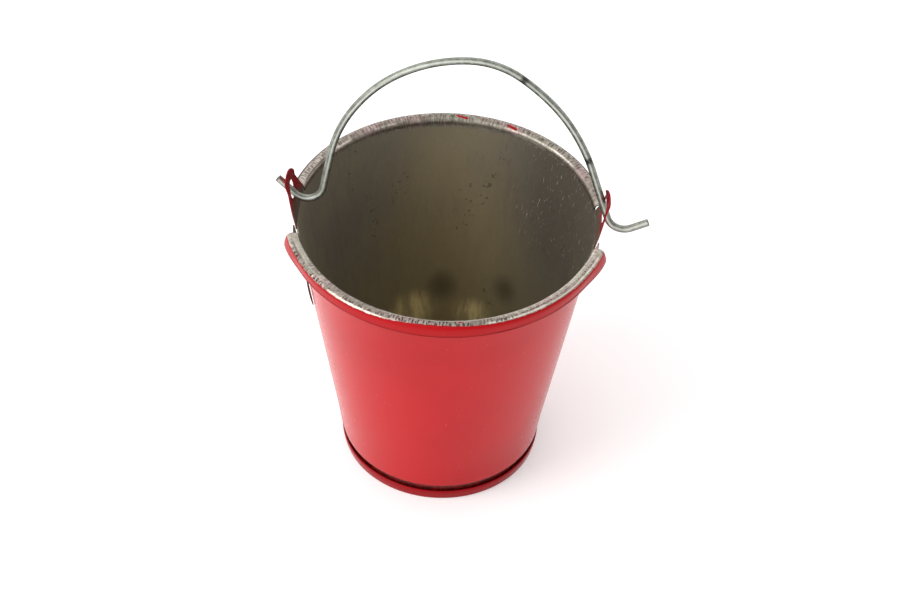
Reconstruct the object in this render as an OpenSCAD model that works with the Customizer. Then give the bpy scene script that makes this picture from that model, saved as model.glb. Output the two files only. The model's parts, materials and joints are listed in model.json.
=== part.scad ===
// Small tapered sheet-metal sand bucket with a rolled rim, two pierced ears
// and a bent-wire bail. Millimetres, +Z up, origin on the floor under the
// centre of the foot. The ears lie on the X axis. The bail is drawn at rest,
// tipped a little towards +Y. The right ear's hole is a slot, because the
// bail's right leg goes through it steeply and sweeps sideways as it turns.

/* [Pail] */
// Height of the rolled rim above the floor
rim_h = 57.9; // [45:0.1:75]
// Outer radius of the rolled rim
rim_r = 30.2; // [24:0.1:38]
// Outer radius of the wall at its lower edge
wall_bottom_r = 19.65; // [15:0.05:26]
// Outer radius the wall would have at rim height
wall_top_r = 28.31; // [20:0.01:36]
// Height of the wall's lower edge above the floor
wall_bottom_z = 3.7; // [2:0.1:8]
// Thickness of the sheet
sheet_t = 0.3; // [0.2:0.05:0.8]

/* [Side seam] */
// Width of the lapped side seam
seam_w = 4; // [2:0.5:8]
// Direction of the seam, in degrees from +X
seam_az = 190; // [0:1:360]

/* [Rolled rim] */
// Outer radius of the roll's section
roll_r = 1.08; // [0.7:0.02:2]
// Drop of the rim's outer band below the top
band_drop = 2.7; // [2:0.1:6]
// Height below the top where the rim sheet leaves the plain wall
rim_root = 1.5; // [1.2:0.1:3]
// Gap from the left ear's centre to the front rim, degrees
gap_left_front = 16; // [11:0.1:22]
// Gap from the left ear's centre to the rear rim, degrees
gap_left_rear = 12.2; // [11:0.1:22]
// Gap from the right ear's centre to the front rim, degrees
gap_right_front = 13.3; // [11:0.1:22]
// Gap from the right ear's centre to the rear rim, degrees
gap_right_rear = 12.2; // [11:0.1:22]

/* [Ears] */
// Height of an ear's tip above the rim
ear_h = 7.8; // [6:0.1:14]
// Half width of an ear at its root
ear_half_w = 5.5; // [4:0.1:8]
// Radius of an ear's rounded tip
ear_tip_r = 2.7; // [1:0.1:4]
// Outward lean of an ear, millimetres per millimetre of height
ear_slope = 0.22; // [0:0.01:0.4]
// Bend radius of an ear across its width
ear_bend_r = 45; // [28:1:200]
// Height of the hinge line above the rim
hinge_h = 3.9; // [3:0.1:6]
// Radius of the left ear's hole
hole_left_r = 1.75; // [1:0.05:2.7]
// Height of the left hole's centre above the hinge line
hole_left_dz = -0.35; // [-1:0.05:1]
// Radius of the ends of the right ear's slotted hole
hole_right_r = 1.8; // [1:0.05:2.7]
// Half the run of the right slot, from its middle to the centre of an end
hole_right_run = 1; // [0:0.05:1.5]
// Height of the right hole's centre above the hinge line
hole_right_dz = -0.3; // [-1:0.05:1]

/* [Foot] */
// Outer radius of the foot ring's upper edge
foot_r = 19.7; // [16:0.1:28]
// Height of the foot ring's upper edge
foot_top = 2.3; // [2:0.05:5]
// Height of the pail's floor above the ground, at its upper face
floor_z = 3.1; // [1:0.1:6]

/* [Bail] */
// Radius of the bail's wire
wire_r = 0.675; // [0.4:0.025:1.2]
// Lean of the bail at rest, degrees back from upright
bail_lean = 10; // [0:1:60]
// Left wire end, sideways from the pail's centre
bail_x0 = -31.53; // [-36:0.01:-28]
// Left wire end, above the hinge line
bail_v0 = 1.83; // [0:0.01:5]
// Left wire end's slope, degrees below level
bail_dip = 43.91; // [0:0.01:70]
// Left stub, from its cut end to its hook
stub_left = 4.40; // [2:0.01:9]
// Left hook's bend radius
hook_left_r = 3.06; // [1.5:0.01:5]
// Left hook's bend angle
hook_left_a = 123.48; // [80:0.01:150]
// Left leg's straight length
leg_left = 7.28; // [2:0.01:16]
// Left shoulder's bend radius
shoulder_left_r = 26.17; // [15:0.01:60]
// Left shoulder's bend angle
shoulder_left_a = 76.59; // [20:0.01:90]
// Crown's bend radius
crown_r = 15.78; // [12:0.01:40]
// Crown's bend angle
crown_a = 37.48; // [20:0.01:100]
// Right shoulder's bend radius
shoulder_right_r = 36.96; // [15:0.01:80]
// Right shoulder's bend angle
shoulder_right_a = 35.76; // [5:0.01:60]
// Right leg's straight length
leg_right = 10.80; // [2:0.01:20]
// Right hook's bend radius
hook_right_r = 3.27; // [1.5:0.01:5]
// Right hook's bend angle
hook_right_a = 96.04; // [80:0.01:150]
// Right stub, from its hook to its cut end
stub_right = 3.39; // [2:0.01:9]

/* [Hidden] */
$fn = 96;
slope = (wall_top_r - wall_bottom_r) / (rim_h - wall_bottom_z);
root_z = rim_h - rim_root;
root_r = wall_top_r - slope * rim_root;
roll_cx = rim_r - roll_r;
roll_cz = rim_h - roll_r;
neck_r = 19.1;
neck_bottom = 0.3;
// Steps of the wall's turned-in lower corner, and the seam's stops above it and the band
corner_in = 0.12;
corner_down = 0.18;
neck_drop = 0.3;
seam_lift = 0.6;
seam_tuck = 0.8;
// Clearance between the pan's skirt and the wall's neck
skirt_gap = 0.03;
// First and last angle of the rolled rim's section
roll_a0 = 178;
roll_a1 = 0;
ear_top = rim_h + ear_h;
ear_c = ear_top - ear_tip_r;
hinge_z = rim_h + hinge_h;
// Blanks that cut the ears and the seam start here and are this deep
blank_x = 15;
blank_l = 30;
// Tangent from the ear's root corner to its tip circle
tan_d = sqrt(ear_half_w * ear_half_w + (ear_c - root_z) * (ear_c - root_z));
tan_a = atan2(ear_c - root_z, -ear_half_w) - asin(ear_tip_r / tan_d);
tan_l = sqrt(tan_d * tan_d - ear_tip_r * ear_tip_r);
// Pulled in a hair, so that the ear's sides cross the tip circle cleanly
tan_in = 0.02;
tan_y = ear_half_w + tan_l * cos(tan_a) - tan_in;
tan_z = root_z + tan_l * sin(tan_a);
// Joints between the bail's straights and bends
collar = 0.15;
trim = 0.05;
core_step = 0.01;
core_r = wire_r - core_step;
deg = 180 / PI;

red = [0.72, 0.16, 0.18];
tin = [0.62, 0.59, 0.54];
steel = [0.60, 0.62, 0.58];

// Tapered wall with its necked lower end and the lapped side seam
module body_wall() {
    color(red) {
        rotate_extrude()
            polygon([
                [root_r - sheet_t, root_z],
                [root_r, root_z],
                [wall_bottom_r, wall_bottom_z],
                [wall_bottom_r - corner_in, wall_bottom_z - corner_down],
                [neck_r, wall_bottom_z - neck_drop],
                [neck_r, neck_bottom],
                [neck_r - sheet_t, neck_bottom],
                [neck_r - sheet_t, wall_bottom_z + corner_in],
                [wall_bottom_r - sheet_t, wall_bottom_z + sheet_t + corner_down]
            ]);
        seam();
    }
}

// The seam is one more thickness of sheet, lapped over the wall's outside
module seam() {
    z0 = wall_bottom_z + seam_lift;
    z1 = rim_h - band_drop + seam_tuck;
    r0 = wall_bottom_r + slope * (z0 - wall_bottom_z);
    r1 = wall_bottom_r + slope * (z1 - wall_bottom_z);
    intersection() {
        rotate_extrude()
            polygon([
                [r0 - sheet_t / 2, z0], [r0 + sheet_t, z0],
                [r1 + sheet_t, z1], [r1 - sheet_t / 2, z1]
            ]);
        rotate([0, 0, seam_az])
            translate([blank_x, -seam_w / 2, 0])
                cube([blank_l, seam_w, rim_h]);
    }
}

// Section of the rim: up the inside, over the roll, down the outer band
function arc_pts(cx, cz, r, a0, a1, n) =
    [for (i = [0 : n]) [cx + r * cos(a0 + (a1 - a0) * i / n), cz + r * sin(a0 + (a1 - a0) * i / n)]];

module rim_section() {
    polygon(concat(
        [[root_r - sheet_t, root_z]],
        arc_pts(roll_cx, roll_cz, roll_r, roll_a0, roll_a1, 12),
        [[rim_r, rim_h - band_drop], [rim_r - sheet_t, rim_h - band_drop]],
        arc_pts(roll_cx, roll_cz, roll_r - sheet_t, roll_a1, roll_a0, 12),
        [[root_r, root_z]]
    ));
}

module rim_arc(a0, a1) {
    rotate([0, 0, a0])
        rotate_extrude(angle = a1 - a0)
            rim_section();
}

module rim_front() {
    color(tin) rim_arc(180 + gap_left_front, 360 - gap_right_front);
}

module rim_rear() {
    color(tin) rim_arc(gap_right_rear, 180 - gap_left_rear);
}

// A rounded, pierced tab that carries the wall's sheet up past the rim
module ear(hole_r, hole_run, hole_z) {
    foot_of_ear = ear_bend_r;
    head_of_ear = ear_bend_r + ear_slope * (ear_top + 1 - root_z);
    difference() {
        intersection() {
            translate([root_r - ear_bend_r, 0, 0])
                rotate_extrude()
                    polygon([
                        [foot_of_ear - sheet_t, root_z],
                        [foot_of_ear, root_z],
                        [head_of_ear, ear_top + 1],
                        [head_of_ear - sheet_t, ear_top + 1]
                    ]);
            ear_outline();
        }
        for (y = [-hole_run, hole_run])
            translate([0, y, 0]) ear_punch(hole_r, hole_z);
        if (hole_run > 0)
            translate([blank_x, -hole_run, hole_z - hole_r])
                cube([blank_l, 2 * hole_run, 2 * hole_r]);
    }
}

module ear_outline() {
    union() {
        translate([blank_x, 0, 0])
            rotate([90, 0, 90])
                linear_extrude(height = blank_l)
                    polygon([
                        [-ear_half_w, root_z], [ear_half_w, root_z],
                        [tan_y, tan_z], [-tan_y, tan_z]
                    ]);
        ear_punch(ear_tip_r, ear_c);
    }
}

module ear_punch(r, z) {
    translate([blank_x, 0, z])
        rotate([0, 90, 0])
            cylinder(r = r, h = blank_l);
}

module ear_right() {
    color(red) ear(hole_right_r, hole_right_run, hinge_z + hole_right_dz);
}

module ear_left() {
    color(red) rotate([0, 0, 180]) ear(hole_left_r, 0, hinge_z + hole_left_dz);
}

// Floor disc, skirt and the upturned ring that clasps the wall's lower end.
// The ring's outer face, from the ground up; its inner face is one sheet inside.
RING = [
    [neck_r + 0.15, 0],
    [neck_r + 0.26, 0.1],
    [neck_r + 0.36, 0.45],
    [foot_r - 0.08, foot_top * 0.55],
    [foot_r, foot_top - 0.4],
    [foot_r - 0.06, foot_top - 0.1]
];

module bottom_pan() {
    skirt_r = neck_r - sheet_t - skirt_gap;
    color(red)
        rotate_extrude()
            polygon(concat(
                [
                    [0, floor_z - sheet_t],
                    [skirt_r - sheet_t, floor_z - sheet_t],
                    [skirt_r - sheet_t, 0]
                ],
                RING,
                [[foot_r - sheet_t / 2, foot_top]],
                [for (i = [5 : -1 : 3]) RING[i] - [sheet_t, 0]],
                [
                    [neck_r + 0.1, neck_bottom + 0.2],
                    [neck_r + 0.03, neck_bottom],
                    [skirt_r, neck_bottom],
                    [skirt_r, floor_z],
                    [0, floor_z]
                ]
            ));
}

// Bail: a chain of straight lengths and bends, drawn flat and then stood up.
// Each step is [length, 0] for a straight or [radius, turn] for a bend.
BAIL = [
    [stub_left, 0],
    [hook_left_r, hook_left_a],
    [leg_left, 0],
    [shoulder_left_r, -shoulder_left_a],
    [crown_r, -crown_a],
    [shoulder_right_r, -shoulder_right_a],
    [leg_right, 0],
    [hook_right_r, hook_right_a],
    [stub_right, 0]
];

// Each length or bend stops just short of its neighbour, and a short collar
// of the wire's full radius joins the two.
module wire(i) {
    if (i < len(BAIL)) {
        s = BAIL[i];
        if (i > 0)
            translate([-collar, 0, 0]) rotate([0, 90, 0]) cylinder(r = wire_r, h = 2 * collar);
        if (s[1] == 0) {
            translate([trim, 0, 0]) rotate([0, 90, 0]) cylinder(r = core_r, h = s[0] - 2 * trim);
            translate([s[0], 0, 0]) wire(i + 1);
        } else if (s[1] > 0) {
            da = trim / s[0] * deg;
            translate([0, s[0], 0]) rotate([0, 0, da - 90])
                rotate_extrude(angle = s[1] - 2 * da) translate([s[0], 0]) circle(r = core_r);
            translate([0, s[0], 0]) rotate([0, 0, s[1]]) translate([0, -s[0], 0]) wire(i + 1);
        } else {
            da = trim / s[0] * deg;
            translate([0, -s[0], 0]) rotate([0, 0, 90 + s[1] + da])
                rotate_extrude(angle = -s[1] - 2 * da) translate([s[0], 0]) circle(r = core_r);
            translate([0, -s[0], 0]) rotate([0, 0, s[1]]) translate([0, s[0], 0]) wire(i + 1);
        }
    }
}

module bail() {
    color(steel)
        translate([0, 0, hinge_z])
            rotate([-bail_lean, 0, 0])
                rotate([90, 0, 0])
                    translate([bail_x0, bail_v0, 0])
                        rotate([0, 0, -bail_dip])
                            wire(0);
}

body_wall();
rim_front();
rim_rear();
ear_left();
ear_right();
bottom_pan();
bail();
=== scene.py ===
"""Looks for the sand bucket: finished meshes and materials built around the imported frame."""

import json
import math

import bmesh
import bpy
from mathutils import Matrix, Vector, noise


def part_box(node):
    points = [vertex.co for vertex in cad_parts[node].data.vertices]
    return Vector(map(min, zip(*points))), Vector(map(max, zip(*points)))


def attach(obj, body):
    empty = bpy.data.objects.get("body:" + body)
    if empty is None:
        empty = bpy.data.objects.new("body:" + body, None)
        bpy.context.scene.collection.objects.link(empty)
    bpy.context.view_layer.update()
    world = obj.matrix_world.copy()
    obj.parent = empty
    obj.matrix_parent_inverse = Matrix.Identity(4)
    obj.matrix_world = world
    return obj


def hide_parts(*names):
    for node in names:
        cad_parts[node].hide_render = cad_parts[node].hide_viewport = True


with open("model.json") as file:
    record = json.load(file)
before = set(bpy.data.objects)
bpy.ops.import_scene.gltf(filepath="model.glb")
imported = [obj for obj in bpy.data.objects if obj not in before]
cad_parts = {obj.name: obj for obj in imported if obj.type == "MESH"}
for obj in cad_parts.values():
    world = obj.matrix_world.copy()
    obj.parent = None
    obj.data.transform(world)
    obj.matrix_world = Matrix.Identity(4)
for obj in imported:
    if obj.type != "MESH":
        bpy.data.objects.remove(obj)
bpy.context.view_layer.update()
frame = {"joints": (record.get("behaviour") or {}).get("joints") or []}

MM = 0.001
TAU = 2 * math.pi

# Driving dimensions of the pail, in millimetres, and what the frame says about them
RIM_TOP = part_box("rim_front")[1][2] / MM
RIM_R = -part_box("rim_front")[0][1] / MM
EAR_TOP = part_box("ear_left")[1][2] / MM
EAR_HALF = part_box("ear_left")[1][1] / MM
HINGE_Z = frame["joints"][0]["pos_m"][2] / MM
FOOT_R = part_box("bottom_pan")[1][0] / MM
FLOOR_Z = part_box("bottom_pan")[1][2] / MM
SHEET = 0.3
WALL_BOTTOM_R = 19.65
WALL_BOTTOM_Z = 3.7
WALL_TOP_R = 28.31
SLOPE = (WALL_TOP_R - WALL_BOTTOM_R) / (RIM_TOP - WALL_BOTTOM_Z)
ROOT_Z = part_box("body_wall")[1][2] / MM
ROOT_R = WALL_TOP_R - SLOPE * (RIM_TOP - ROOT_Z)
NECK_R = 19.1
ROLL_R = 1.08
ROLL_C = RIM_R - ROLL_R
ROLL_Z = RIM_TOP - ROLL_R
BAND_DROP = 2.7
SEAM_AZ = 190.0
SEAM_HALF = 2.0
# First and last azimuth of each rim half, and where the seam's loose strip stands off the wall
FRONT_SPAN = (196.0, 346.7)
REAR_SPAN = (11.4, 168.7)
SLIVER_AZ = 196.2


# ---------------------------------------------------------------- mesh helpers

def smoothstep(a, b, x):
    t = min(1.0, max(0.0, (x - a) / (b - a)))
    return t * t * (3 - 2 * t)


def wobble(x, y, z, seed=0.0):
    """Smooth noise between about -1 and 1."""
    return noise.noise(Vector((x + seed, y - 1.7 * seed, z + 0.3 * seed)))


def hump(a, b, fade, x):
    """1 between a and b, falling smoothly to 0 over the given fade on either side."""
    return smoothstep(a - fade, a + fade, x) * smoothstep(b + fade, b - fade, x)


def make_object(name, verts, faces, materials, face_mats=None, attrs=None, sharp=35):
    """A mesh object from points in millimetres, shaded smooth except at sharp edges."""
    mesh = bpy.data.meshes.new(name)
    mesh.from_pydata([(x * MM, y * MM, z * MM) for x, y, z in verts], [], faces)
    for m in materials:
        mesh.materials.append(m)
    if face_mats:
        mesh.polygons.foreach_set("material_index", face_mats)
    for key, values in (attrs or {}).items():
        layer = mesh.attributes.new(key, "FLOAT", "POINT")
        layer.data.foreach_set("value", values)
    bm = bmesh.new()
    bm.from_mesh(mesh)
    bmesh.ops.recalc_face_normals(bm, faces=bm.faces)
    bm.to_mesh(mesh)
    bm.free()
    mesh.shade_smooth()
    mesh.set_sharp_from_angle(angle=math.radians(sharp))
    obj = bpy.data.objects.new(name, mesh)
    bpy.context.scene.collection.objects.link(obj)
    return obj


def arc(cx, cz, r, a0, a1, n):
    """Points of an arc in a section, angles in degrees."""
    steps = [a0 + (a1 - a0) * i / n for i in range(n + 1)]
    return [(cx + r * math.cos(math.radians(a)), cz + r * math.sin(math.radians(a))) for a in steps]


def stations(points, step):
    """The same outline with no stretch longer than step. Keeps every given point."""
    out = []
    for (r0, z0), (r1, z1) in zip(points, points[1:]):
        n = max(1, math.ceil(math.hypot(r1 - r0, z1 - z0) / step))
        out += [(r0 + (r1 - r0) * i / n, z0 + (z1 - z0) * i / n) for i in range(n)]
    return out + [points[-1]]


def sweep(section, azimuths, ring, move=None):
    """Turns a closed section of (r, z) about Z. Returns verts and quads; ring closes it on itself."""
    verts, faces = [], []
    m, n = len(section), len(azimuths)
    for a in azimuths:
        c, s = math.cos(math.radians(a)), math.sin(math.radians(a))
        for i, (r, z) in enumerate(section):
            if move:
                r, z = move(i, r, z, a)
            verts.append((r * c, r * s, z))
    for j in range(n if ring else n - 1):
        k = (j + 1) % n
        for i in range(m):
            h = (i + 1) % m
            faces.append((j * m + i, j * m + h, k * m + h, k * m + i))
    return verts, faces


# ------------------------------------------------------------ material helpers

class Nodes:
    """A material's node tree, with short ways to add to it."""

    def __init__(self, name):
        self.mat = bpy.data.materials.new(name)
        self.mat.use_nodes = True
        self.tree = self.mat.node_tree
        self.shader = self.tree.nodes["Principled BSDF"]
        self.coord = self.tree.nodes.new("ShaderNodeTexCoord").outputs["Object"]

    def add(self, kind, **settings):
        node = self.tree.nodes.new(kind)
        for key, value in settings.items():
            setattr(node, key, value)
        return node

    def feed(self, socket, value):
        if hasattr(value, "is_output"):
            self.tree.links.new(value, socket)
        else:
            socket.default_value = value

    def scaled(self, scale, offset=(0, 0, 0)):
        node = self.add("ShaderNodeMapping")
        self.feed(node.inputs["Vector"], self.coord)
        node.inputs["Scale"].default_value = scale
        node.inputs["Location"].default_value = offset
        return node.outputs["Vector"]

    def noise(self, scale, detail=3.0, rough=0.5, vector=None, distort=0.0, unit=1000.0):
        """Noise with features of the given size in millimetres; unit is 1 for a vector in millimetres."""
        node = self.add("ShaderNodeTexNoise")
        self.feed(node.inputs["Vector"], vector if vector is not None else self.coord)
        node.inputs["Scale"].default_value = unit / scale
        node.inputs["Detail"].default_value = detail
        node.inputs["Roughness"].default_value = rough
        node.inputs["Distortion"].default_value = distort
        return node.outputs["Fac"]

    def math(self, op, a, b=0.0, c=0.0, clamp=False):
        node = self.add("ShaderNodeMath", operation=op, use_clamp=clamp)
        for socket, value in zip(node.inputs, (a, b, c)):
            self.feed(socket, value)
        return node.outputs[0]

    def span(self, value, low, high, to_low=0.0, to_high=1.0, smooth=True):
        """Maps value from low..high to to_low..to_high, held at both ends."""
        kind = "SMOOTHSTEP" if smooth else "LINEAR"
        node = self.add("ShaderNodeMapRange", interpolation_type=kind)
        for key, v in zip(("Value", "From Min", "From Max", "To Min", "To Max"),
                          (value, low, high, to_low, to_high)):
            self.feed(node.inputs[key], v)
        return node.outputs["Result"]

    def mix(self, fac, a, b, blend="MIX"):
        node = self.add("ShaderNodeMix", data_type="RGBA", blend_type=blend)
        self.feed(node.inputs["Factor"], fac)
        self.feed(node.inputs[6], a)
        self.feed(node.inputs[7], b)
        return node.outputs[2]

    def mix_value(self, fac, a, b):
        node = self.add("ShaderNodeMix", data_type="FLOAT")
        self.feed(node.inputs["Factor"], fac)
        self.feed(node.inputs[2], a)
        self.feed(node.inputs[3], b)
        return node.outputs[0]

    def xyz(self):
        node = self.add("ShaderNodeSeparateXYZ")
        self.feed(node.inputs[0], self.coord)
        return node.outputs

    def attr(self, name):
        return self.add("ShaderNodeAttribute", attribute_name=name).outputs["Fac"]

    def vector(self, x, y, z=0.0):
        node = self.add("ShaderNodeCombineXYZ")
        for socket, value in zip(node.inputs, (x, y, z)):
            self.feed(socket, value)
        return node.outputs[0]

    def spot(self, x, y, z, radius, soft, stretch=1.0):
        """1 inside a ball of the given radius (mm) round a point, 0 outside."""
        node = self.add("ShaderNodeMapping")
        self.feed(node.inputs["Vector"], self.coord)
        node.inputs["Location"].default_value = (-x * MM, -y * MM, -z * MM / stretch)
        node.inputs["Scale"].default_value = (1, 1, 1 / stretch)
        length = self.add("ShaderNodeVectorMath", operation="LENGTH")
        self.feed(length.inputs[0], node.outputs["Vector"])
        return self.span(length.outputs["Value"], (radius - soft) * MM, (radius + soft) * MM, 1.0, 0.0)

    def bump(self, height, strength, distance, normal=None):
        node = self.add("ShaderNodeBump")
        node.inputs["Strength"].default_value = strength
        node.inputs["Distance"].default_value = distance * MM
        self.feed(node.inputs["Height"], height)
        if normal is not None:
            self.feed(node.inputs["Normal"], normal)
        return node.outputs["Normal"]


def rgb(r, g, b):
    """An sRGB colour, 0 to 255, as the linear colour a shader takes."""
    def lin(v):
        v /= 255
        return v / 12.92 if v <= 0.04045 else ((v + 0.055) / 1.055) ** 2.4
    return (lin(r), lin(g), lin(b), 1.0)


RED = rgb(186, 8, 16)
RED_DEEP = rgb(156, 4, 12)
TIN_LIGHT = rgb(192, 182, 170)
TIN_DARK = rgb(122, 111, 101)
TIN_HIGHLIGHT = rgb(232, 223, 210)
TIN_MARK = rgb(62, 48, 46)


def paint_layers(n):
    """Gloss red stoved paint: colour, roughness and a faint orange-peel."""
    broad = n.noise(22.0, 3.0, 0.45)
    fine = n.noise(0.9, 3.0, 0.6)
    colour = n.mix(n.span(broad, 0.42, 0.72, 0.0, 0.3), RED, RED_DEEP)
    rough = n.span(fine, 0.3, 0.8, 0.20, 0.28)
    return colour, rough, fine


def red_paint():
    n = Nodes("red_paint")
    colour, rough, fine = paint_layers(n)
    scuff = n.noise(0.5, 6.0, 0.75, n.scaled((1, 1, 0.25)))
    colour = n.mix(n.span(scuff, 0.68, 0.82, 0.0, 0.4), colour, RED_DEEP)
    # Painted shade: the neck in the foot groove is darkened to near black-brown.
    groove_shade_colour = n.mix(n.span(n.noise(0.7, 4.0, 0.6), 0.35, 0.65), rgb(58, 14, 12), rgb(112, 18, 16))
    colour = n.mix(n.attr("groove_shade"), colour, groove_shade_colour)
    n.feed(n.shader.inputs["Base Color"], colour)
    n.feed(n.shader.inputs["Roughness"], rough)
    n.shader.inputs["Specular IOR Level"].default_value = 0.21
    n.feed(n.shader.inputs["Normal"], n.bump(fine, 0.04, 0.04))
    return n.mat


def wall_place(az, z, r=None):
    """A point on the wall's inner face, in millimetres."""
    r = r if r is not None else WALL_TOP_R - SHEET + SLOPE * (z - RIM_TOP)
    return r * math.cos(math.radians(az)), r * math.sin(math.radians(az)), z


def tarnish_and_painted_light(n):
    """Colour of the pail's inside: olive-brown tinplate with streaks, specks and scratches, and painted
    light: a lighter middle, shade towards +X, a lighter foot of the wall, two golden painted reflections and
    two dark painted shadows.
    """
    x, _, z = n.xyz()
    cloud = n.noise(16.0, 4.0, 0.5)
    grain = n.noise(1.4, 4.0, 0.6, n.scaled((1, 1, 0.05)))
    base = n.mix(n.span(cloud, 0.35, 0.68), rgb(138, 131, 120), rgb(152, 142, 120))
    base = n.mix(n.span(grain, 0.42, 0.75, 0.0, 0.22), base, rgb(84, 78, 70))
    # Painted light: the middle of the inside, by X, is lighter and warmer, less so higher up.
    painted_centre_light = n.math("MULTIPLY", n.span(x, -0.022, -0.002), n.span(x, 0.022, 0.006))
    high_up = n.span(z, 0.030, 0.056, 0.7, 0.25)
    base = n.mix(n.math("MULTIPLY", painted_centre_light, high_up), base, rgb(170, 151, 112))
    # Painted shade: darker towards +X.
    base = n.mix(n.span(x, 0.004, 0.020, 0.0, 0.75), base, rgb(92, 85, 76))
    # Painted light: lighter and warmer low on the wall, as light thrown up from the floor disc.
    low = n.span(z, 0.010, 0.040, 1.0, 0.0)
    base = n.mix(n.math("MULTIPLY", low, 0.5), base, rgb(164, 153, 118))
    # Painted reflections: two golden patches low on the back wall, streaked by the grain.
    for az, height, size, tall in ((111.0, 13.8, 3.6, 1.0), (76.0, 13.0, 3.1, 0.9)):
        spot = n.spot(*wall_place(az, height), size, 2.4, tall)
        painted_shading_streak = n.span(grain, 0.40, 0.62, 1.0, 0.3)
        base = n.mix(n.math("MULTIPLY", spot, painted_shading_streak), base, rgb(255, 238, 178))
    # Painted shadow: two dark patches higher on the back wall.
    for az, height, size in ((94.5, 18.9, 2.6), (59.5, 21.3, 2.2)):
        spot = n.spot(*wall_place(az, height), size, 1.9, 1.2)
        base = n.mix(n.math("MULTIPLY", spot, 0.6), base, rgb(76, 68, 54))
    specks = n.noise(0.9, 2.0, 0.5)
    lines = n.noise(5.5, 2.0, 0.5, n.scaled((1, 1, 0.3)))
    grit = n.math("MULTIPLY", n.span(specks, 0.60, 0.68), n.span(lines, 0.58, 0.66))
    base = n.mix(n.math("MULTIPLY", grit, 0.45), base, rgb(56, 50, 44))
    scratch = n.noise(0.25, 2.0, 0.5, n.scaled((1, 1, 0.10)), distort=0.6)
    high = n.math("MULTIPLY", n.span(x, 0.006, 0.018), n.span(z, 0.030, 0.042))
    fine = n.math("MULTIPLY", n.span(scratch, 0.67, 0.72, 0.0, 0.9), high)
    return n.mix(fine, base, rgb(214, 204, 190)), grain


def bare_tin(n, strokes):
    """Colour of tinplate rubbed bright, with a greenish and pinkish bloom."""
    mottle = n.noise(0.9, 4.0, 0.65)
    bloom = n.noise(6.0, 2.0, 0.5)
    colour = n.mix(n.span(n.mix_value(0.5, mottle, strokes), 0.34, 0.66), TIN_DARK, TIN_LIGHT)
    colour = n.mix(n.span(bloom, 0.50, 0.66, 0.0, 0.45), colour, rgb(196, 168, 168))
    return n.mix(n.span(bloom, 0.34, 0.48, 0.40, 0.0), colour, rgb(164, 168, 152)), mottle


def inner_tin():
    """The wall's inside, with the rubbed band that reaches down from the rim at the back."""
    n = Nodes("tarnished_tin_and_painted_light")
    base, grain = tarnish_and_painted_light(n)
    strokes = n.noise(0.55, 3.0, 0.6, n.scaled((1, 1, 0.12)))
    bright, _ = bare_tin(n, strokes)
    edge = n.math("ADD", n.attr("worn"), n.span(strokes, 0.3, 0.7, -0.5, 0.5, smooth=False))
    wear_and_highlight = n.span(edge, -0.12, 0.16)
    n.feed(n.shader.inputs["Base Color"], n.mix(wear_and_highlight, base, bright))
    n.feed(n.shader.inputs["Metallic"], n.mix_value(wear_and_highlight, 0.5, 0.85))
    n.feed(n.shader.inputs["Roughness"], n.span(grain, 0.3, 0.7, 0.38, 0.52))
    n.feed(n.shader.inputs["Normal"], n.bump(strokes, 0.2, 0.04))
    return n.mat


def rim_metal():
    """Bare, tool-marked tin on the roll with painted highlight lines, red paint over the outer band darkened
    as painted shade, and a few red flecks.
    """
    n = Nodes("rim_tin_and_paint")
    across, along = n.attr("across"), n.attr("along")
    ragged = n.noise(0.6, 4.0, 0.65)
    strokes = n.noise(0.32, 2.0, 0.5, n.vector(along, n.math("MULTIPLY", across, 0.22)), unit=1.0)
    tin, mottle = bare_tin(n, strokes)
    # Painted highlights: the light attribute lays pale highlight lines along the roll.
    light = n.math("MULTIPLY", n.attr("light"), n.span(mottle, 0.30, 0.55, 0.55, 1.0))
    tin = n.mix(light, tin, TIN_HIGHLIGHT)
    dash = n.math("MULTIPLY", n.attr("dash"), n.span(strokes, 0.44, 0.58))
    tin = n.mix(n.math("MAXIMUM", dash, n.attr("dark")), tin, TIN_MARK)
    # The dull tin on the roll carries the same painted light as the inside.
    dull, _ = tarnish_and_painted_light(n)
    edge = n.math("ADD", n.attr("worn"), n.span(strokes, 0.3, 0.7, -0.4, 0.4, smooth=False))
    wear_and_highlight = n.span(edge, -0.12, 0.16)
    tin = n.mix(wear_and_highlight, dull, tin)
    jagged = n.span(ragged, 0.2, 0.8, -0.16, 0.16, smooth=False)
    past = n.math("ADD", n.attr("paint"), jagged)
    fleck = n.span(n.math("ADD", n.attr("fleck"), jagged), 0.32, 0.5)
    painted = n.math("MAXIMUM", n.span(past, -0.05, 0.05), fleck)
    colour, paint_rough, _ = paint_layers(n)
    # Painted shade: the band's red is darkened all over, most along the paint's edge, and the brim attribute
    # adds painted shade along the band's lower edge.
    shade = n.math("MAXIMUM", n.span(past, 0.0, 0.35, 0.6, 0.25), n.attr("brim_shade"))
    colour = n.mix(shade, colour, rgb(122, 6, 16))
    n.feed(n.shader.inputs["Base Color"], n.mix(painted, tin, colour))
    n.feed(n.shader.inputs["Metallic"], n.span(painted, 0.0, 1.0, 0.8, 0.0))
    bare_rough = n.span(mottle, 0.3, 0.7, 0.46, 0.34)
    n.feed(n.shader.inputs["Roughness"], n.mix_value(painted, bare_rough, paint_rough))
    n.shader.inputs["Specular IOR Level"].default_value = 0.16
    n.feed(n.shader.inputs["Normal"], n.bump(strokes, 0.3, 0.05))
    return n.mat


def raw_edge_and_shade():
    """Dark, sheared edge of the sheet; also given to the seam's sprung strip as painted shade."""
    n = Nodes("raw_sheet_edge_and_sliver_shade")
    burr = n.noise(0.3, 4.0, 0.65)
    n.feed(n.shader.inputs["Base Color"], n.mix(n.span(burr, 0.35, 0.7), rgb(38, 24, 24), rgb(104, 90, 84)))
    n.shader.inputs["Metallic"].default_value = 0.4
    n.feed(n.shader.inputs["Roughness"], n.span(burr, 0.3, 0.7, 0.5, 0.7))
    n.feed(n.shader.inputs["Normal"], n.bump(burr, 0.3, 0.04))
    return n.mat


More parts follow.
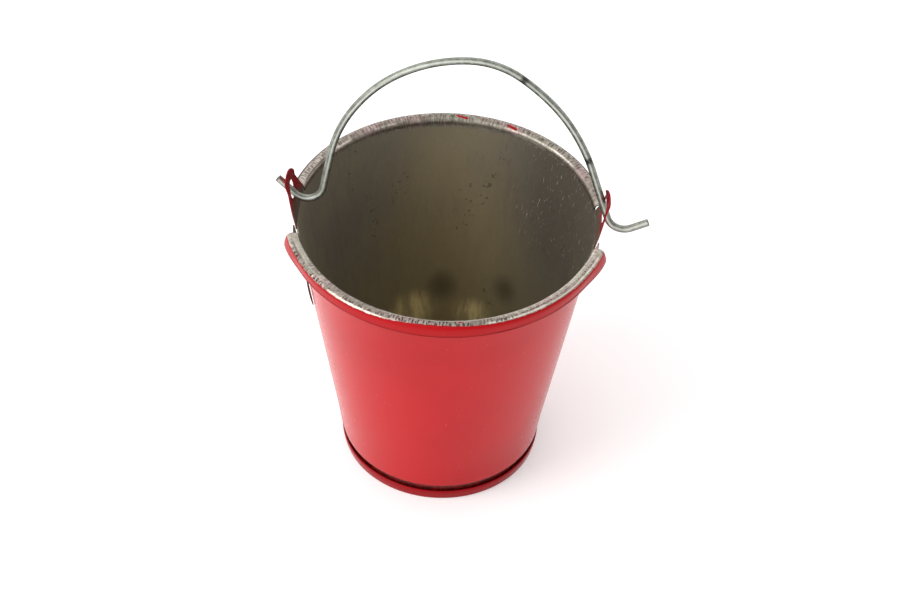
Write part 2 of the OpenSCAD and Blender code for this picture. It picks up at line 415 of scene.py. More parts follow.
def ear_metal():
    """Painted ear: red outside, dull maroon inside fading to bare tin below, dark at its cut edge."""
    n = Nodes("ear_paint")
    z = n.xyz()[2]
    ragged = n.noise(1.6, 4.0, 0.6)
    inner = n.attr("inner")
    rub = n.noise(0.5, 5.0, 0.7)
    height = n.math("ADD", z, n.span(ragged, 0.2, 0.8, -0.0022, 0.0022, smooth=False))
    bare = n.math("MULTIPLY", n.span(height, (RIM_TOP - 0.2) * MM, (RIM_TOP + 3.2) * MM, 1.0, 0.0), inner)
    colour, rough, _ = paint_layers(n)
    colour = n.mix(n.math("MULTIPLY", inner, 0.75), colour, rgb(112, 30, 38))
    worn = n.math("MULTIPLY", n.attr("edge"), n.span(rub, 0.35, 0.6, 0.4, 1.0))
    colour = n.mix(worn, colour, rgb(120, 16, 30))
    colour = n.mix(bare, colour, n.mix(n.span(rub, 0.3, 0.7), rgb(92, 80, 72), rgb(136, 118, 104)))
    n.feed(n.shader.inputs["Base Color"], colour)
    n.feed(n.shader.inputs["Metallic"], n.math("MULTIPLY", bare, 0.6))
    n.feed(n.shader.inputs["Roughness"], n.mix_value(bare, rough, 0.45))
    n.shader.inputs["Specular IOR Level"].default_value = 0.16
    n.feed(n.shader.inputs["Normal"], n.bump(rub, 0.15, 0.05))
    return n.mat


def foot_paint():
    """Red paint on the foot ring, darkened all over as painted shade and darkest with painted shade in the
    groove behind it.
    """
    n = Nodes("foot_paint")
    colour, rough, peel = paint_layers(n)
    # Painted shade in the groove behind the foot ring
    groove_shade = n.math("MULTIPLY", n.attr("groove_shade"), n.span(n.noise(0.7, 4.0, 0.6), 0.3, 0.6, 0.6, 1.0))
    # Painted shade: the whole foot ring is a darker copy of the red
    colour = n.mix(0.55, colour, rgb(108, 14, 24))
    colour = n.mix(groove_shade, colour, rgb(46, 20, 16))
    n.feed(n.shader.inputs["Base Color"], colour)
    n.feed(n.shader.inputs["Roughness"], n.mix_value(groove_shade, rough, 0.7))
    n.shader.inputs["Specular IOR Level"].default_value = 0.10
    n.feed(n.shader.inputs["Normal"], n.bump(peel, 0.12, 0.05))
    return n.mat


def wire_metal():
    """Dull galvanised wire: a painted highlight along its front face, painted shade down its sides, dark
    bands.
    """
    n = Nodes("galvanised_wire")
    mottled = n.noise(1.2, 4.0, 0.6)
    pits = n.noise(0.25, 4.0, 0.7)
    colour = n.mix(n.span(mottled, 0.3, 0.7), rgb(116, 120, 110), rgb(160, 163, 152))
    # Painted shade: dark streaks down the wire's sides and a thin dark line
    ragged = n.math("ADD", n.attr("painted_shading_streak"), n.span(pits, 0.3, 0.7, -0.18, 0.18, smooth=False))
    colour = n.mix(n.span(ragged, 0.35, 0.9), colour, rgb(44, 46, 42))
    # Painted highlight along the wire's front face
    colour = n.mix(n.attr("wear_and_highlight"), colour, rgb(240, 242, 234))
    colour = n.mix(n.span(pits, 0.64, 0.78, 0.0, 0.5), colour, rgb(84, 84, 76))
    band = n.math("MAXIMUM", n.attr("band"), n.attr("cut"))
    colour = n.mix(n.math("MULTIPLY", band, n.span(pits, 0.25, 0.55, 0.5, 1.0)), colour, rgb(52, 50, 46))
    n.feed(n.shader.inputs["Base Color"], colour)
    n.shader.inputs["Metallic"].default_value = 0.75
    n.feed(n.shader.inputs["Roughness"], n.span(mottled, 0.3, 0.7, 0.34, 0.5))
    n.feed(n.shader.inputs["Normal"], n.bump(pits, 0.35, 0.05))
    return n.mat


# ------------------------------------------------------------------ the pieces

def sheet_wave(z, az):
    """How far the hand-worked sheet stands in from a true cone, in millimetres."""
    a = math.radians(az)
    fade = smoothstep(ROOT_Z, ROOT_Z - 9, z) * smoothstep(WALL_BOTTOM_Z, WALL_BOTTOM_Z + 6, z)
    return -0.10 * fade * (1 + wobble(1.3 * math.cos(a), 1.3 * math.sin(a), z / 28, 4.0))


def worn_drop(az):
    """How far below the rim's top the inner face is rubbed bright, most at the back."""
    return 0.75 + 1.25 * max(0.0, math.sin(math.radians((az - 15) * 1.2)))**0.8 * (az < 180)


def seam_sliver():
    """A sprung strip of the lapped seam, standing just off the wall below the rim."""
    low, high, steps = 38.7, 45.5, 14
    verts, faces = [], []
    for k in range(steps + 1):
        t = k / steps
        z = low + (high - low) * t
        r = WALL_TOP_R - SLOPE * (RIM_TOP - z)
        lift = 0.28 + 0.10 * math.sin(math.pi * t)
        wide = 0.4 + 0.7 * t
        thick = 0.08 + 0.08 * smoothstep(0.0, 0.3, t)
        near, far = SLIVER_AZ - wide, SLIVER_AZ
        for az, off in ((near, 0.15), (far, lift), (far, lift + thick), (near, 0.15 + thick)):
            a = math.radians(az)
            verts.append(((r + off) * math.cos(a), (r + off) * math.sin(a), z))
        if k:
            faces += [tuple((k - 1) * 4 + q for q in (i, (i + 1) % 4)) + (k * 4 + (i + 1) % 4, k * 4 + i)
                      for i in range(4)]
    faces += [(0, 1, 2, 3), tuple(steps * 4 + i for i in range(4))]
    return verts, faces


def build_wall(paint, tin, raw):
    """Tapered wall with its lapped seam, turned-in foot edge and neck."""
    outer = stations([(ROOT_R, ROOT_Z), (WALL_BOTTOM_R + SLOPE * 0.55, WALL_BOTTOM_Z + 0.55)], 1.0)
    edge = arc(WALL_BOTTOM_R - 0.20, WALL_BOTTOM_Z + 0.3, 0.25, 5, -80, 6)
    neck = stations([(NECK_R, WALL_BOTTOM_Z - 0.1), (NECK_R, 0.32)], 0.8)
    inner_neck = stations([(NECK_R - SHEET + 0.02, 0.32), (NECK_R - SHEET + 0.02, WALL_BOTTOM_Z + 0.1)], 0.8)
    near_top = ROOT_Z - 3
    inner = stations([(WALL_BOTTOM_R - SHEET, WALL_BOTTOM_Z + 0.5),
                      (ROOT_R - SHEET - SLOPE * 3, near_top)], 1.0)
    inner += stations([(ROOT_R - SHEET - SLOPE * 3, near_top), (ROOT_R - SHEET, ROOT_Z)], 0.25)[1:]
    section = outer + edge + neck + inner_neck + inner
    first_inner = len(outer) + len(edge) + len(neck)
    azimuths = [a * 0.5 for a in range(720)]
    for side in (-1, 1):
        for k in range(6):
            azimuths.append(SEAM_AZ + side * (math.degrees(SEAM_HALF / 24) + 0.12 * (k - 3)) + 0.01)
    azimuths.sort()

    def move(i, r, z, az):
        r += sheet_wave(z, az)
        if i < first_inner and z > WALL_BOTTOM_Z + 0.4:
            arc_mm = abs(math.radians(az - SEAM_AZ)) * r
            lap = smoothstep(SEAM_HALF + 0.25, SEAM_HALF - 0.25, arc_mm)
            ends = smoothstep(ROOT_Z - 0.6, ROOT_Z - 1.2, z)
            ends *= smoothstep(WALL_BOTTOM_Z + 0.5, WALL_BOTTOM_Z + 0.9, z)
            r += SHEET * 0.35 * lap * ends
        return r, z

    verts, faces = sweep(section, azimuths, True, move)
    m = len(section)
    mats = [1 if (k % m) >= first_inner - 1 else 0 for k in range(len(faces))]
    worn = [worn_drop(azimuths[k // m]) - (RIM_TOP - verts[k][2]) for k in range(len(verts))]
    # Painted shade in the foot groove, on the neck below the wall's foot edge
    groove_shade = [smoothstep(WALL_BOTTOM_Z + 0.42, WALL_BOTTOM_Z + 0.2, z) for _, _, z in verts]
    more_verts, more_faces = seam_sliver()
    first = len(verts)
    faces += [tuple(first + i for i in f) for f in more_faces]
    # The sprung strip is given the dark edge material all over: painted shade.
    mats += [2] * len(more_faces)
    worn += [0.0] * len(more_verts)
    groove_shade += [0.0] * len(more_verts)
    attrs = {"worn": worn, "groove_shade": groove_shade}
    wall = make_object("wall_sheet", verts + more_verts, faces, [paint, tin, raw], mats, attrs, sharp=40)
    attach(wall, "pail")
    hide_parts("body_wall")
    return wall


# Marks and painted highlights on the roll: first and last azimuth, distance outward from the crest, half
# width, strength
# Painted highlight lines on the roll
HIGHLIGHT_LINES = [
    (196, 224, -0.25, 0.6, 0.25), (214, 272, -0.72, 0.10, 0.35), (272, 346, -0.72, 0.12, 0.6),
    (230, 250, 0.95, 0.22, 0.4),
    (288, 344, 0.58, 0.13, 0.95), (196, 204, 0.7, 0.4, 0.5), (322, 346, 0.0, 0.5, 0.15),
    (36, 48, -0.88, 0.14, 0.9), (52, 67, -1.75, 0.26, 1.0), (115, 124, -0.88, 0.13, 0.8),
    (136, 143, -0.88, 0.16, 1.0), (14, 166, 0.45, 0.16, 0.55), (142, 168, -0.4, 0.7, 0.45),
]
DASH_ROWS = [
    (203, 227, 0.92, 0.22, 1.0), (224, 254, 0.10, 0.45, 0.65), (252, 291, 0.0, 0.5, 1.0),
    (288, 342, 0.12, 0.17, 1.0), (70, 92, -0.5, 0.9, 0.6), (90, 127, -1.0, 1.3, 0.6),
    (20, 70, -1.2, 0.8, 0.3), (124, 136, -0.6, 0.8, 0.45), (30, 64, -0.35, 0.35, 0.8),
    (85, 125, -2.2, 0.5, 0.7), (197, 226, 0.55, 0.3, 0.8),
    (14, 166, -0.1, 0.7, 0.75), (212, 250, -0.5, 0.5, 0.6), (226, 300, 0.45, 0.25, 0.9),
]
DARK_LINES = [
    (12, 168, 0.66, 0.24, 1.0), (150, 166, -0.85, 0.16, 0.75), (314, 328, 0.45, 0.08, 0.6),
    (196, 204, -1.25, 0.25, 0.8), (200, 211, 0.35, 0.22, 0.55),
]
# Strokes of paint left on the bare roll: azimuth and distance of both ends, half width
FLECKS = [
    (66.2, -0.62, 69.8, -0.38, 0.20), (67.2, 0.42, 68.8, 0.48, 0.15), (86.4, -0.62, 90.4, -0.22, 0.17),
    (278.6, -0.30, 279.0, -0.30, 0.20),
]


def roll_marks(rows, az, s):
    """Strength of the strongest of some marks at a place on the roll."""
    best = 0.0
    for first, last, middle, half, strength in rows:
        if first - 3 < az < last + 3:
            across = smoothstep(half * 1.5, half * 0.5, abs(s - middle))
            best = max(best, strength * hump(first, last, 2.0, az) * across)
    return best


def fleck_at(az, s):
    """1 on a stroke of paint, falling to 0 around it."""
    best = 0.0
    for a0, s0, a1, s1, half in FLECKS:
        if a0 - 3 < az < a1 + 3:
            t = min(1.0, max(0.0, (az - a0) / (a1 - a0)))
            off_along = (az - (a0 + (a1 - a0) * t)) * math.pi / 180 * ROLL_C
            off_across = s - (s0 + (s1 - s0) * t)
            best = max(best, smoothstep(half * 1.6, half * 0.4, math.hypot(off_along, off_across)))
    return best


def paint_start(az):
    """Distance outward from the crest at which the paint begins."""
    if az < 180:
        return 1.3
    dip = 0.55 * math.exp(-((az - 268) / 16) ** 2) + 0.3 * math.exp(-((az - 295) / 25) ** 2)
    return 1.15 - dip - 0.1 * smoothstep(300, 320, az)


def roll_point(s, inset=0.0):
    """The point of the roll's section at a distance outward from its crest."""
    r = ROLL_R - inset
    a = s / ROLL_R
    return ROLL_C + r * math.sin(a), ROLL_Z + r * math.cos(a)


def rim_nib(az_root, az_tip, middle, half):
    """A small torn tab at the end of a rim half."""
    verts, faces = [], []
    steps = 6
    for k in range(steps + 1):
        t = k / steps
        a = math.radians(az_root + (az_tip - az_root) * t)
        w = half * (1 - 0.75 * t)
        rise = 0.12 * math.sin(2.4 * t)
        for s, inset in ((middle - w, SHEET), (middle + w, SHEET), (middle + w, 0.0), (middle - w, 0.0)):
            r, z = roll_point(s, inset)
            verts.append((r * math.cos(a), r * math.sin(a), z - rise))
        if k:
            faces += [((k - 1) * 4 + i, (k - 1) * 4 + (i + 1) % 4, k * 4 + (i + 1) % 4, k * 4 + i)
                      for i in range(4)]
    faces += [(0, 1, 2, 3), tuple(steps * 4 + i for i in range(4))]
    return verts, faces


def build_rim(name, node, az0, az1, metal, raw, nibs=()):
    """One half of the rolled rim, with its tool marks pressed into the crown."""
    outside = [(ROOT_R - SHEET, ROOT_Z)] + arc(ROLL_C, ROLL_Z, ROLL_R, 178, 0, 36)
    outside += stations([(RIM_R, ROLL_Z - 0.1), (RIM_R, RIM_TOP - BAND_DROP + 0.1)], 0.2)
    lip = arc(RIM_R - SHEET / 2, RIM_TOP - BAND_DROP + SHEET / 2, SHEET / 2, 0, -180, 6)
    inside = stations([(RIM_R - SHEET, RIM_TOP - BAND_DROP + 0.2), (RIM_R - SHEET, ROLL_Z)], 0.4)
    inside += arc(ROLL_C, ROLL_Z, ROLL_R - SHEET, 0, 178, 18) + [(ROOT_R, ROOT_Z)]
    section = outside + lip + inside
    count_out = len(outside)
    n = int((az1 - az0) * math.pi / 180 * ROLL_C / 0.12)
    azimuths = [az0 + (az1 - az0) * k / n for k in range(n + 1)]
    crossing = []
    for r, z in section:
        angle = math.atan2(r - ROLL_C, z - ROLL_Z)
        straight = math.copysign(ROLL_R * math.pi / 2 + ROLL_Z - z, angle)
        crossing.append(angle * ROLL_R if z >= ROLL_Z else straight)
    foot = crossing[0]

    def move(i, r, z, az):
        s = crossing[i]
        left, right = smoothstep(212, 197, az) * (az > 180), smoothstep(330, 346, az)
        flare = 0.15 * left + 0.25 * right + 0.42 * (left + right) * smoothstep(1.2, 3.0, s)
        r += flare * smoothstep(foot, -0.6, s)
        # The roll leans in over the wall, except where it grows out of it
        if s > foot + 1e-6:
            r -= 0.22 * smoothstep(-0.2, -0.9, s)
        if i >= count_out:
            return r, z
        along = math.radians(az) * ROLL_C
        uneven = wobble(along / 3.1, 0.2, 0.0, 9.0)
        tooth = max(0.0, math.sin(TAU * along / 0.78 + 1.6 * uneven)) ** 2
        depth = 0.08 * roll_marks(DASH_ROWS, az, s) * tooth * (0.6 + 0.4 * uneven)
        depth += 0.03 * hump(-1.1, 0.8, 0.5, s) * (1 + wobble(along / 1.3, s, 0, 2.0))
        dr, dz = r - ROLL_C, z - ROLL_Z
        length = math.hypot(dr, dz)
        if dz > 0 and length > 0:
            r -= dr / length * depth
            z -= dz / length * depth
        if s > ROLL_R * math.pi / 2:
            r -= 0.05 * (1 + wobble(along / 6, 0.5, 0.0, 3.0)) * smoothstep(1.7, 3.0, s)
        return r, z

    verts, faces = sweep(section, azimuths, False, move)
    m = len(section)
    places = [(azimuths[k // m], crossing[k % m], verts[k][2]) for k in range(len(verts))]
    mats = [0] * len(faces) + [1, 1]
    faces.append(tuple(range(m)))
    faces.append(tuple((len(azimuths) - 1) * m + i for i in range(m)))
    for nib in nibs:
        more_verts, more_faces = rim_nib(*nib)
        faces += [tuple(len(verts) + i for i in f) for f in more_faces]
        mats += [1 if nib[0] < 270 else 0] * len(more_faces)
        verts += more_verts
        places += [(nib[1], nib[2], RIM_TOP)] * len(more_verts)
    attrs = {
        "across": [s for az, s, z in places],
        "along": [math.radians(az) * ROLL_C for az, s, z in places],
        "paint": [s - paint_start(az) for az, s, z in places],
        # Painted shade along the band's lower edge
        "brim_shade": [0.5 * smoothstep(2.2, 3.1, s) for az, s, z in places],
        "worn": [worn_drop(az) - (RIM_TOP - z) if s < 0 else 2.0 for az, s, z in places],
        # Painted highlight lines
        "light": [roll_marks(HIGHLIGHT_LINES, az, s) for az, s, z in places],
        "dash": [roll_marks(DASH_ROWS, az, s) for az, s, z in places],
        "dark": [roll_marks(DARK_LINES, az, s) for az, s, z in places],
        "fleck": [fleck_at(az, s) for az, s, z in places],
    }
    rim = make_object(name, verts, faces, [metal, raw], mats, attrs, sharp=50)
    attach(rim, "pail")
    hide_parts(node)
    return rim


# Torn tabs at the ends of the front rim: azimuth at root and tip, place across the roll, half width
FRONT_NIBS = [(FRONT_SPAN[0] + 0.2, 191.6, -0.55, 0.40), (FRONT_SPAN[1] - 0.2, 350.2, -0.30, 0.35)]

EAR_TIP_R = 2.7
EAR_SLOPE = 0.22
# Each ear's hole: radius of its ends, half the run between their centres, height above the hinge line
HOLES = {1: (1.8, 1.0, -0.3), -1: (1.75, 0.0, -0.35)}
# How far each ear is twisted, its far edge inward, per millimetre across; the heights over which the
# twist sets in; and how far the flank beyond the hole curls inward as well
EAR_BENDS = {1: (0.20, 62.6, 65.0, 0.0), -1: (0.17, 62.2, 64.4, 0.25)}
CURL_FROM = 1.9


def hole_reach(angle, radius, run):
    """Distance from the middle of a slotted hole to its edge, at an angle from straight up."""
    s, c = abs(math.sin(angle)), abs(math.cos(angle))
    if c > 1e-9 and radius * s / c <= run:
        return radius / c
    return run * s + math.sqrt(radius * radius - (run * c) ** 2)


def ear_reach(angle, centre):
    """Distance from the hole's centre to the ear's outline, at an angle from straight up."""
    tip_z = EAR_TOP - EAR_TIP_R
    run = tip_z - ROOT_Z
    d = math.hypot(EAR_HALF, run)
    a = math.atan2(run, -EAR_HALF) - math.asin(EAR_TIP_R / d)
    length = math.sqrt(d * d - EAR_TIP_R * EAR_TIP_R)
    root = ROOT_Z - centre
    ty, tz = EAR_HALF + length * math.cos(a), root + length * math.sin(a)
    s, c = abs(math.sin(angle)), math.cos(angle)
    best = 99.0
    if c < -1e-6 and abs(root / c * s) <= EAR_HALF + 1e-6:
        best = root / c
    ex, ez = ty - EAR_HALF, tz - root
    den = s * ez - c * ex
    if abs(den) > 1e-9:
        t = (EAR_HALF * ez - root * ex) / den
        if t > 0 and root - 1e-6 <= t * c <= tz + 1e-6:
            best = min(best, t)
    if best > 90:
        cz = tip_z - centre
        b = c * cz
        best = b + math.sqrt(b * b - cz * cz + EAR_TIP_R ** 2)
    return best


def build_ear(name, node, side, metal):
    """A pierced tab, bent across, twisted towards its tip and rounded at its cut edges."""
    radius, run, rise = HOLES[side]
    twist, twist_from, twist_to, curl = EAR_BENDS[side]
    centre = HINGE_Z + rise
    corner = math.atan2(EAR_HALF, ROOT_Z - centre)
    angles = sorted([TAU * k / 180 - math.pi for k in range(180)] + [corner, -corner])
    rings = 14
    half = SHEET / 2
    soft = 0.05
    loop = [(k / rings, 1) for k in range(rings + 1)] + [(1 - k / rings, -1) for k in range(rings + 1)]
    verts, inner, edge = [], [], []
    for a in angles:
        reach = ear_reach(a, centre)
        hole = hole_reach(a, radius, run)
        at_root = math.cos(a) < 0 and abs(reach * math.cos(a) - (ROOT_Z - centre)) < 1e-3
        for t, face in loop:
            r = hole + (reach - hole) * t
            if t == 0:
                r += soft
            elif t == 1 and not at_root:
                r -= soft
            y, z = r * math.sin(a), centre + r * math.cos(a)
            thick = half * (0.62 if (t == 0 or (t == 1 and not at_root)) else 1.0)
            up = (z - ROOT_Z) / (EAR_TOP - ROOT_Z)
            bend = 45 + 160 * smoothstep(0.05, 0.6, up)
            x = ROOT_R - half + EAR_SLOPE * (z - ROOT_Z) - (bend - math.sqrt(bend * bend - y * y))
            x -= 0.25 * smoothstep(0.55, 1.0, up) ** 2
            x -= side * twist * y * smoothstep(twist_from, twist_to, z)
            x -= curl * max(0.0, side * y - CURL_FROM) * smoothstep(56.5, 58.5, z)
            x += face * thick
            verts.append((side * x, side * y, z))
            inner.append(1.0 if face < 0 else 0.0)
            edge.append(1.0 if t in (0, 1) else 0.0)
    m, n = len(loop), len(angles)
    faces = []
    for j in range(n):
        k = (j + 1) % n
        for i in range(m):
            h = (i + 1) % m
            faces.append((j * m + i, j * m + h, k * m + h, k * m + i))
    ear = make_object(name, verts, faces, [metal], None, {"inner": inner, "edge": edge}, sharp=50)
    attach(ear, "pail")
    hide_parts(node)
    return ear


def build_pan(paint, tin):
    """Floor disc with its skirt and the upturned foot ring."""
    ring_top = 2.3
    skirt = NECK_R - SHEET - 0.03
    top = stations([(0.4, FLOOR_Z - 0.02), (skirt - 0.6, FLOOR_Z - 0.02)], 1.5)
    top += arc(skirt - 0.4, FLOOR_Z - 0.4, 0.4, 90, 0, 4)
    fold = stations([(skirt, FLOOR_Z - 1.0), (skirt, 0.32), (NECK_R + 0.05, 0.32), (NECK_R + 0.11, 0.5)], 0.8)
    hollow = stations([(FOOT_R - 0.39, 1.2), (FOOT_R - SHEET - 0.01, ring_top - 0.45)], 0.4)
    crest = arc(FOOT_R - SHEET / 2 - 0.02, ring_top - SHEET / 2, SHEET / 2, 170, 0, 8)
    belly = stations([(FOOT_R - 0.01, ring_top - 0.4), (FOOT_R - 0.09, 1.27), (NECK_R + 0.37, 0.46)], 0.4)
    under = [(NECK_R + 0.27, 0.11), (NECK_R + 0.16, 0.01), (skirt - SHEET, 0.0)]
    well = stations([(skirt - SHEET, 0.35), (skirt - SHEET, FLOOR_Z - SHEET - 0.3)], 0.8)
    well += stations([(skirt - SHEET - 0.3, FLOOR_Z - SHEET), (0.4, FLOOR_Z - SHEET)], 1.5)
    section = top + fold + hollow + crest + belly + under + well
    azimuths = [float(a) for a in range(0, 360)]
    m, n = len(section), len(azimuths)

    def move(i, r, z, az):
        a = math.radians(az)
        if z > 0.3 and r > skirt + 0.3:
            r -= 0.02 * (1 + wobble(3 * math.cos(a), 3 * math.sin(a), z, 6.0))
        return r, z

    verts, faces = sweep(section, azimuths, True, move)
    quads = [(f, 1 if k % m < len(top) else 0) for k, f in enumerate(faces) if k % m != m - 1]
    quads.append((tuple(j * m for j in range(n)), 1))
    quads.append((tuple(j * m + m - 1 for j in range(n)), 0))
    groove = range(len(top), len(top) + len(fold) + len(hollow))
    # Painted shade: the groove faces are marked for darkening
    groove_shade = [1.0 if k % m in groove else 0.0 for k in range(len(verts))]
    faces, mats = [f for f, mat in quads], [mat for f, mat in quads]
    worn = [-2.0] * len(verts)
    attrs = {"groove_shade": groove_shade, "worn": worn}
    pan = make_object("bottom_and_foot", verts, faces, [paint, tin], mats, attrs, sharp=40)
    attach(pan, "pail")
    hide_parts("bottom_pan")
    return pan


WIRE_R = 0.675
BAIL_LEAN = 10.0
BAIL_START = (-31.53, 1.83, -43.91)
# The wire's straights (length, 0) and bends (radius, turn in degrees), left end to right end
BAIL = [
    (4.40, 0), (3.06, 123.48), (7.28, 0), (26.17, -76.59), (15.78, -37.48), (36.96, -35.76),
    (10.80, 0), (3.27, 96.04), (3.39, 0),
]


def bail_path(step):
    """Points and headings along the wire's centre line, in the bail's own plane."""
    u, v, heading = BAIL_START
    path = []
    for size, turn in BAIL:
        run = size if turn == 0 else size * math.radians(abs(turn))
        n = max(2, math.ceil(run / step))
        for k in range(n):
            if turn == 0:
                a = math.radians(heading)
                path.append((u + run * k / n * math.cos(a), v + run * k / n * math.sin(a), heading))
            else:
                sign = math.copysign(1, turn)
                h0 = math.radians(heading)
                h = math.radians(heading + turn * k / n)
                cu, cv = u - sign * size * math.sin(h0), v + sign * size * math.cos(h0)
                bend = heading + turn * k / n
                path.append((cu + sign * size * math.sin(h), cv - sign * size * math.cos(h), bend))
        if turn == 0:
            u += size * math.cos(math.radians(heading))
            v += size * math.sin(math.radians(heading))
        else:
            h0, h1 = math.radians(heading), math.radians(heading + turn)
            sign = math.copysign(1, turn)
            u += sign * size * (math.sin(h1) - math.sin(h0))
            v -= sign * size * (math.cos(h1) - math.cos(h0))
            heading += turn
    path.append((u, v, heading))
    return path


def build_bail(metal):
    """The wire, with faint hand-bent unevenness, painted shade down its sides, a painted highlight line and
    sheared ends.
    """
    sides = 28
    lean = math.radians(BAIL_LEAN)
    marks = (64.1, 84.6)
    rows, distance, last = [], 0.0, None
    for u, v, h in bail_path(0.35):
        distance += math.hypot(u - last[0], v - last[1]) if last else 0.0
        last = (u, v)
        rows.append((u, v, h, distance, 1.0))
    total = distance
    rows.insert(0, rows[0][:4] + (0.88,))
    rows.append(rows[-1][:4] + (0.88,))
    verts, painted_shading_streak, wear_and_highlight, band, cut = [], [], [], [], []
    for k, (u, v, h, dist, swell) in enumerate(rows):
        a = math.radians(h)
        free = smoothstep(9, 20, dist) * smoothstep(total - 9, total - 26, dist)
        out = -0.10 * free * wobble(dist / 11, 0.0, 0.0, 5.0)
        side = 0.22 * free * wobble(dist / 17, 1.0, 0.0, 8.0)
        end = 1.0 if k in (0, len(rows) - 1) else 0.0
        mark = max(smoothstep(0.9, 0.3, abs(dist - d)) for d in marks)
        # The side of the wire facing front and up, from which the painted shade and highlight are laid
        top = math.pi / 2 - 0.6 * math.cos(a)
        for j in range(sides):
            t = TAU * j / sides
            radial = WIRE_R * swell * math.cos(t) + out
            normal = WIRE_R * swell * math.sin(t) + side
            pu, pv = u - radial * math.sin(a), v + radial * math.cos(a)
            inset = 0.12 * end * (1 + 0.8 * math.cos(t)) * (1 if k == 0 else -1)
            pu += inset * math.cos(a)
            pv += inset * math.sin(a)
            y = pv * math.sin(lean) - normal * math.cos(lean)
            z = HINGE_Z + pv * math.cos(lean) + normal * math.sin(lean)
            verts.append((pu, y, z))
            turn = math.atan2(math.sin(t - top), math.cos(t - top))
            # Painted shade: dark along both sides of the wire and in a thin line near its front
            side_shade = smoothstep(0.72, 0.25, abs(math.cos(turn)))
            mid_shade_line = 0.75 * smoothstep(0.22, 0.05, abs(turn + 0.35))
            painted_shading_streak.append(max(side_shade, mid_shade_line))
            # Painted highlight: a bright line along the front face
            wear_and_highlight.append(0.6 * smoothstep(0.30, 0.10, abs(turn - 0.25)))
            band.append(mark)
            cut.append(0.8 * end)
    faces = []
    for k in range(len(rows) - 1):
        for j in range(sides):
            h = (j + 1) % sides
            faces.append((k * sides + j, k * sides + h, (k + 1) * sides + h, (k + 1) * sides + j))
    faces.append(tuple(range(sides)))
    faces.append(tuple((len(rows) - 1) * sides + j for j in range(sides)))
    attrs = {"painted_shading_streak": painted_shading_streak, "wear_and_highlight": wear_and_highlight, "band": band, "cut": cut}
    bail = make_object("wire_bail", verts, faces, [metal], None, attrs, sharp=45)
    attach(bail, "bail")
    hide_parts("bail")
    return bail


paint = red_paint()
tin = inner_tin()
rim_mat = rim_metal()
ear_mat = ear_metal()
raw = raw_edge_and_shade()
build_wall(paint, tin, raw)
build_rim("rim_roll_front", "rim_front", *FRONT_SPAN, rim_mat, raw, FRONT_NIBS)
build_rim("rim_roll_rear", "rim_rear", *REAR_SPAN, rim_mat, raw)
build_ear("ear_tab_right", "ear_right", 1, ear_mat)
build_ear("ear_tab_left", "ear_left", -1, ear_mat)
build_pan(foot_paint(), tin)
build_bail(wire_metal())


# ----------------------------------------------------------------- the setting

def floor_material():
    """Pale floor with a slight glow of its own, which lifts the shadows."""
    n = Nodes("studio_floor")
    shade = n.span(n.noise(120.0, 2.0, 0.5), 0.3, 0.7, 0.84, 0.86)
    colour = n.add("ShaderNodeCombineColor")
    for socket in colour.inputs:
        n.feed(socket, shade)
    n.feed(n.shader.inputs["Base Color"], colour.outputs[0])
    n.shader.inputs["Roughness"].default_value = 0.9
    n.shader.inputs["Specular IOR Level"].default_value = 0.1
    n.shader.inputs["Emission Color"].default_value = (1, 1, 1, 1)
    n.shader.inputs["Emission Strength"].default_value = 0.24
    return n.mat


def shade_room(tree):
    """A white room around the pail, dimmer towards the front right."""
    dim_side = (0.78, -0.60, 0.15)
    bright, dim = 1.22, 0.55
    towards = tree.nodes.new("ShaderNodeVectorMath")
    towards.operation = "DOT_PRODUCT"
    towards.inputs[1].default_value = dim_side
    tree.links.new(tree.nodes.new("ShaderNodeTexCoord").outputs["Generated"], towards.inputs[0])
    level = tree.nodes.new("ShaderNodeMapRange")
    level.interpolation_type = "SMOOTHSTEP"
    for key, value in (("From Min", 0.0), ("From Max", 1.0), ("To Min", bright), ("To Max", dim)):
        level.inputs[key].default_value = value
    tree.links.new(towards.outputs["Value"], level.inputs["Value"])
    tree.links.new(level.outputs["Result"], tree.nodes["Background"].inputs["Strength"])
    tree.nodes["Background"].inputs["Color"].default_value = (1, 1, 1, 1)


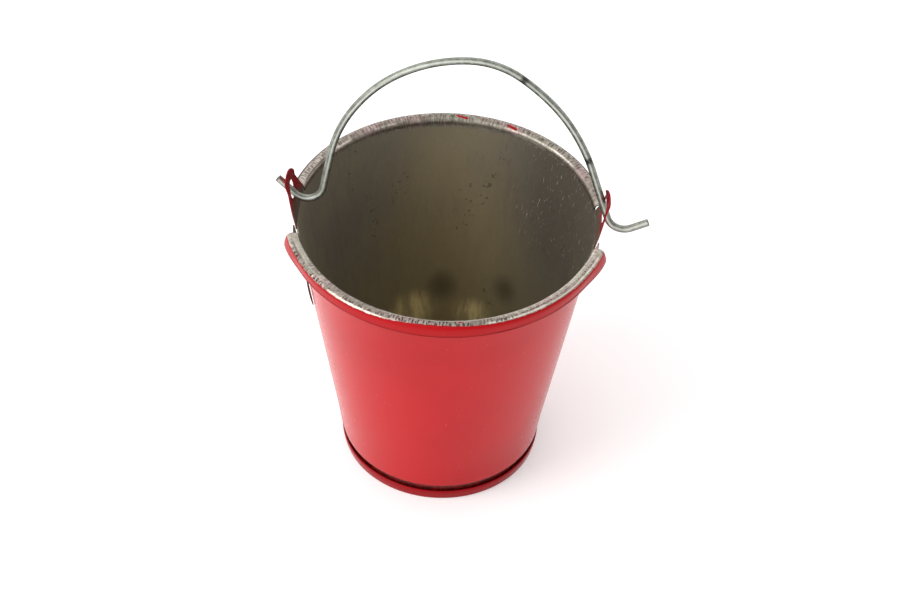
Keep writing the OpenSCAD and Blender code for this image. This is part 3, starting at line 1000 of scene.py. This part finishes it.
def build_setting():
    mesh = bpy.data.meshes.new("floor")
    size = 3.0
    corners = [(-size, -size, 0), (size, -size, 0), (size, size, 0), (-size, size, 0)]
    mesh.from_pydata(corners, [], [(0, 1, 2, 3)])
    mesh.materials.append(floor_material())
    floor = bpy.data.objects.new("floor", mesh)
    bpy.context.scene.collection.objects.link(floor)
    world = bpy.data.worlds.new("studio")
    world.use_nodes = True
    shade_room(world.node_tree)
    bpy.context.scene.world = world


def area_light(name, place, target, size, power):
    data = bpy.data.lights.new(name, "AREA")
    data.shape = "DISK"
    data.size = size
    data.energy = power
    light = bpy.data.objects.new(name, data)
    light.location = place
    light.rotation_euler = (Vector(target) - Vector(place)).to_track_quat("-Z", "Y").to_euler()
    bpy.context.scene.collection.objects.link(light)


# The camera looks down at the pail from a little to the right of its front
VIEW_TILT = math.radians(44.49)
VIEW_DISTANCE = 0.46713
VIEW_AIM_Z = 0.0288
VIEW_TURN = math.radians(3.0)
PAN, TILT = 0.0024, 0.0106
ROLL = math.radians(2.10)


def build_camera():
    data = bpy.data.cameras.new("camera")
    data.sensor_width = 36.0
    data.lens = 96.0
    data.clip_start = 0.01
    camera = bpy.data.objects.new("camera", data)
    place = Vector((0, -VIEW_DISTANCE * math.cos(VIEW_TILT),
                    VIEW_DISTANCE * math.sin(VIEW_TILT) + VIEW_AIM_Z))
    ahead = Vector((0, math.cos(VIEW_TILT), -math.sin(VIEW_TILT)))
    up = Vector((0, math.sin(VIEW_TILT), math.cos(VIEW_TILT)))
    ahead = (ahead + PAN * Vector((1, 0, 0)) + TILT * up).normalized()
    right = ahead.cross(Vector((0, 0, 1))).normalized()
    up = right.cross(ahead)
    across = math.cos(ROLL) * right + math.sin(ROLL) * up
    upward = -math.sin(ROLL) * right + math.cos(ROLL) * up
    axes = Matrix((across, upward, -ahead)).transposed().to_4x4()
    camera.matrix_world = Matrix.Rotation(VIEW_TURN, 4, "Z") @ Matrix.Translation(place) @ axes
    bpy.context.scene.collection.objects.link(camera)
    bpy.context.scene.camera = camera


build_setting()
build_camera()
area_light("key", (-0.55, -0.30, 0.62), (0, 0, 0.03), 0.5, 3.0)
bpy.context.scene.view_settings.view_transform = "Standard"
